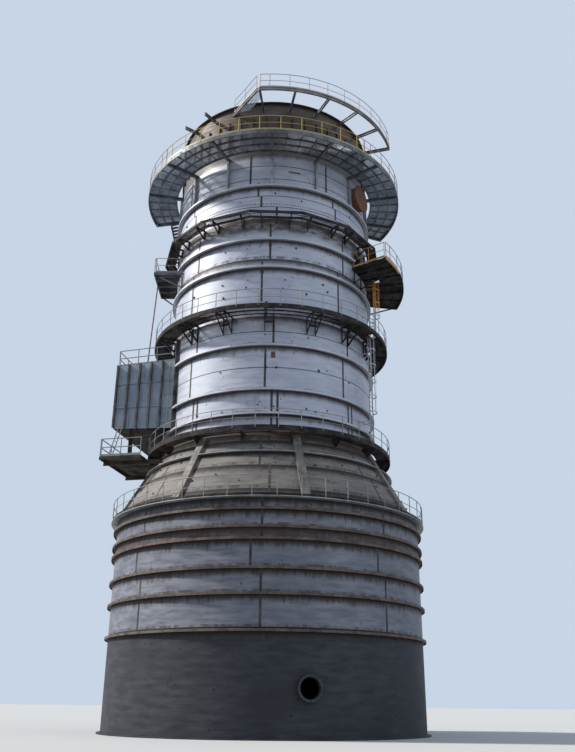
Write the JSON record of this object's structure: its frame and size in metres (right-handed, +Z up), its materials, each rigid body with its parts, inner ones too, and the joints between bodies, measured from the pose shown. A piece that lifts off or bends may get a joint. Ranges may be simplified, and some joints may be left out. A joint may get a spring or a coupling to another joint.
{
  "type": "distillation column",
  "caption": "Tall ring-stiffened steel process column with skirt, cone, walkways, ladders and a wide rectangular side duct.",
  "frame": {"origin": "on the column's axis at ground level, under the base ring", "axes": "+Z up along the axis, -Y to the side with the manway and cone ribs seen in the picture, +X to the side of the right balcony"},
  "size_m": [19.4684, 18.96, 39.47],
  "materials": {
    "skirt_steel": "matt, dusty",
    "rusty_steel": "matt, rust stained",
    "dusty_steel": "matt, dusty",
    "bright_steel": "satin mill plate",
    "galvanised_steel": "matt, galvanised",
    "grey_rail": "galvanised tube",
    "yellow_rail": "painted",
    "orange_rail": "painted",
    "red_primer": "primer",
    "blue_grey_steel": "painted plate"
  },
  "bodies": {
    "root": {"base_ring": "skirt_steel", "skirt": "skirt_steel", "skirt_manway": "skirt_steel", "floor_plate": "skirt_steel", "lower_shell": "rusty_steel", "lower_rings": "rusty_steel", "shoulder_walkway": "galvanised_steel", "shoulder_rail": "grey_rail", "cone_shell": "dusty_steel", "cone_ring": "dusty_steel", "cone_ribs": "dusty_steel", "cone_walkway": "galvanised_steel", "cone_walkway_rail": "grey_rail", "inlet_course": "bright_steel", "second_course": "bright_steel", "third_course": "bright_steel", "crown_shell": "bright_steel", "upper_rings": "bright_steel", "mid_walkway": "galvanised_steel", "mid_walkway_rail": "grey_rail", "narrow_walkway": "galvanised_steel", "left_balcony": "galvanised_steel", "left_balcony_rail": "grey_rail", "right_balcony": "galvanised_steel", "right_balcony_rail": "orange_rail", "doorway_frame": "galvanised_steel", "side_nozzle": "red_primer", "ladders": "grey_rail", "left_stair": "galvanised_steel", "top_deck": "galvanised_steel", "top_frame": "galvanised_steel", "top_front_rail": "yellow_rail", "top_side_rails": "grey_rail", "crown_stiffeners": "galvanised_steel", "crown_rim": "bright_steel", "roof": "galvanised_steel", "crown_beams": "galvanised_steel", "crown_ring": "galvanised_steel", "crown_rail": "grey_rail", "inlet_duct": "blue_grey_steel", "duct_ribs": "blue_grey_steel", "duct_rails": "grey_rail", "duct_balcony": "rusty_steel", "duct_ladder": "grey_rail", "balcony_strut": "red_primer"}
  },
  "joints": []
}
